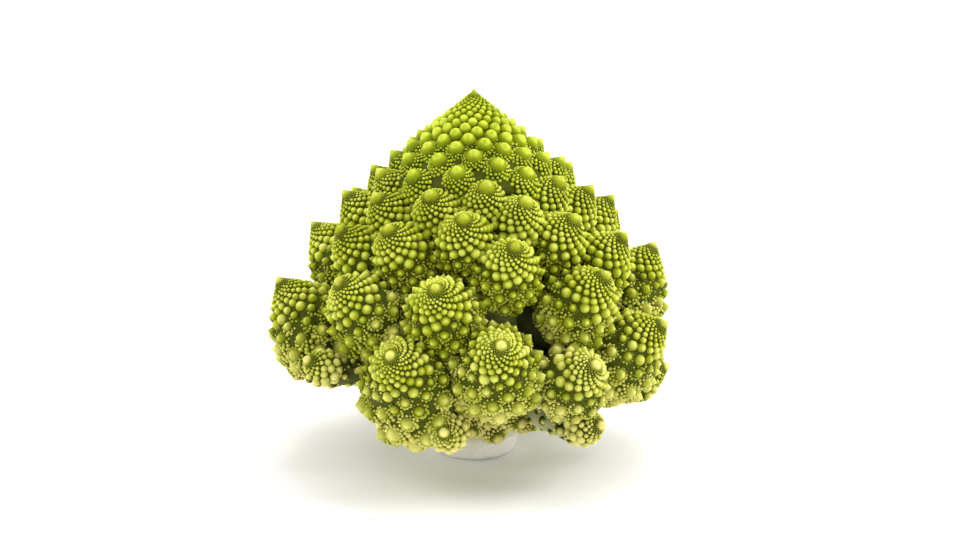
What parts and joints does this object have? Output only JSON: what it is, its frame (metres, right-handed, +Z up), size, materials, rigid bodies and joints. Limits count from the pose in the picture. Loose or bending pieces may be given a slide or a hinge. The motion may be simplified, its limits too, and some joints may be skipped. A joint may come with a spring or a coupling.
{
  "type": "romanesco head",
  "caption": "Pointed head of romanesco: conical florets in a golden-angle spiral round a pale cut stalk, standing on its flat butt.",
  "frame": {"origin": "centre of the stalk's flat cut butt, on the surface that the head stands on", "axes": "+Z up along the stalk to the tip, -Y towards the viewer of the front, +X to the viewer's right"},
  "size_m": [0.1648, 0.1611, 0.149],
  "materials": {
    "floret": "matt yellow-green buds",
    "crown": "matt green buds, a little darker",
    "stalk": "moist off-white cut stalk",
    "leaf_stub": "pale waxy cut leaf base"
  },
  "bodies": {
    "root": {"stalk": "stalk", "crown": "crown", "leaf_stub_1": "leaf_stub", "leaf_stub_2": "leaf_stub", "leaf_stub_3": "leaf_stub", "leaf_stub_4": "leaf_stub", "leaf_stub_5": "leaf_stub", "floret_01": "floret", "floret_02": "floret", "floret_03": "floret", "floret_04": "floret", "floret_05": "floret", "floret_06": "floret", "floret_07": "floret", "floret_08": "floret", "floret_09": "floret", "floret_10": "floret", "floret_11": "floret", "floret_12": "floret", "floret_13": "floret", "floret_14": "floret", "floret_15": "floret", "floret_16": "floret", "floret_17": "floret", "floret_18": "floret", "floret_19": "floret", "floret_20": "floret", "floret_21": "floret", "floret_22": "floret", "floret_23": "floret", "floret_24": "floret", "floret_25": "floret", "floret_26": "floret", "floret_27": "floret", "floret_28": "floret", "floret_29": "floret", "floret_30": "floret", "floret_31": "floret", "floret_32": "floret", "floret_33": "floret", "floret_34": "floret", "floret_35": "floret", "floret_36": "floret", "floret_37": "floret", "floret_38": "floret", "floret_39": "floret", "floret_40": "floret", "floret_41": "floret", "floret_42": "floret", "floret_43": "floret", "floret_44": "floret", "floret_45": "floret", "floret_46": "floret", "floret_47": "floret", "floret_48": "floret", "floret_49": "floret", "floret_50": "floret", "floret_51": "floret", "floret_52": "floret"}
  },
  "joints": []
}
